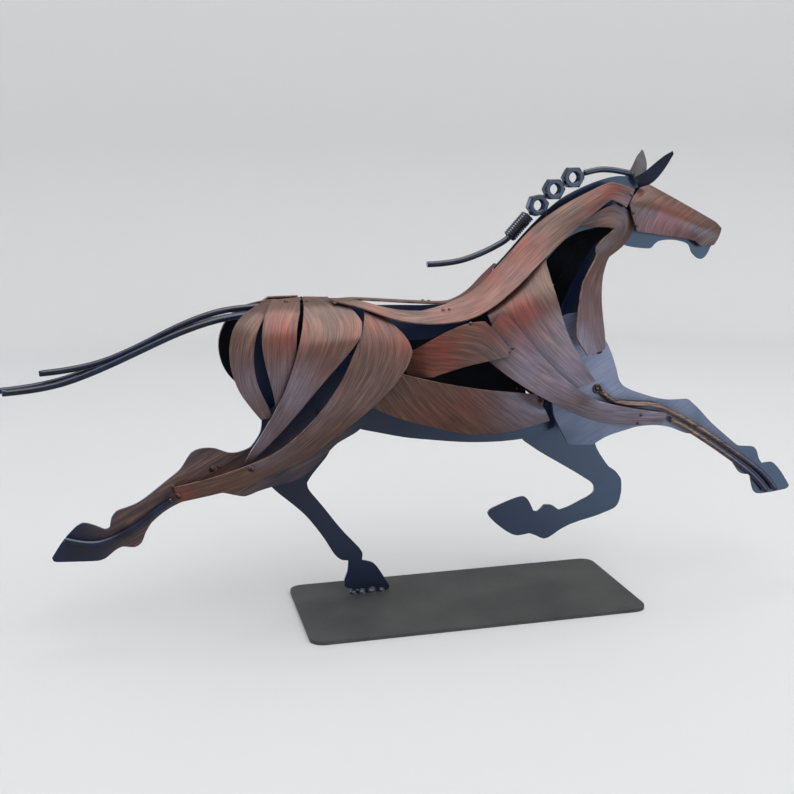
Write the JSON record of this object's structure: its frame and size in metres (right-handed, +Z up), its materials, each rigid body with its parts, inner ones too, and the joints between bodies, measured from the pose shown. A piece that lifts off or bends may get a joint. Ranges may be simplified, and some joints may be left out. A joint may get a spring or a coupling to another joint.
{
  "type": "horse sculpture",
  "caption": "Galloping horse welded from cut and bent sheet-steel strips, with a mane of hex nuts, rod and spring, standing on one hoof on a steel base plate.",
  "frame": {"origin": "centre of the base plate's underside, which the sculpture stands on", "axes": "+X along the base plate's length towards the horse's head, +Y from its near side to its far side, +Z up"},
  "size_m": [0.5416, 0.1086, 0.3031],
  "materials": {
    "brushed_copper_brown": "sheet steel with a brushed copper-brown finish over black, satin",
    "navy_lacquer": "dark navy lacquer, semi-gloss",
    "charcoal_paint": "charcoal paint, matt"
  },
  "bodies": {
    "root": {"base_plate": "charcoal_paint", "back_plate": "navy_lacquer", "crest_plate": "navy_lacquer", "throat_plate": "navy_lacquer", "belly_plate": "navy_lacquer", "hind_leg_near": "navy_lacquer", "hind_leg_far": "navy_lacquer", "foreleg_near": "navy_lacquer", "foreleg_far": "navy_lacquer", "cheek_plate_near": "brushed_copper_brown", "cheek_plate_far": "brushed_copper_brown", "ear_near": "navy_lacquer", "ear_far": "navy_lacquer", "tail_rod_1": "navy_lacquer", "tail_rod_2": "navy_lacquer", "tail_rod_3": "navy_lacquer", "hind_leg_rod": "navy_lacquer", "foreleg_rod_upper": "brushed_copper_brown", "foreleg_rod_lower": "brushed_copper_brown", "mane_rod_front": "navy_lacquer", "mane_rod_rear": "navy_lacquer", "mane_nut_1": "navy_lacquer", "mane_nut_2": "navy_lacquer", "mane_nut_3": "navy_lacquer", "mane_spring": "navy_lacquer", "throat_strip_near": "brushed_copper_brown", "throat_strip_far": "brushed_copper_brown", "back_strip_near": "brushed_copper_brown", "back_strip_far": "brushed_copper_brown", "rump_strip_1_near": "brushed_copper_brown", "rump_strip_1_far": "brushed_copper_brown", "rump_strip_2_near": "brushed_copper_brown", "rump_strip_2_far": "brushed_copper_brown", "rump_strip_3_near": "brushed_copper_brown", "rump_strip_3_far": "brushed_copper_brown", "rump_strip_4_near": "brushed_copper_brown", "rump_strip_4_far": "brushed_copper_brown", "rib_strip_near": "brushed_copper_brown", "rib_strip_far": "brushed_copper_brown", "belly_strip_near": "brushed_copper_brown", "belly_strip_far": "brushed_copper_brown", "shoulder_strip_upper_near": "brushed_copper_brown", "shoulder_strip_upper_far": "brushed_copper_brown", "shoulder_strip_lower_near": "brushed_copper_brown", "shoulder_strip_lower_far": "brushed_copper_brown", "neck_strip_far": "brushed_copper_brown"}
  },
  "joints": []
}
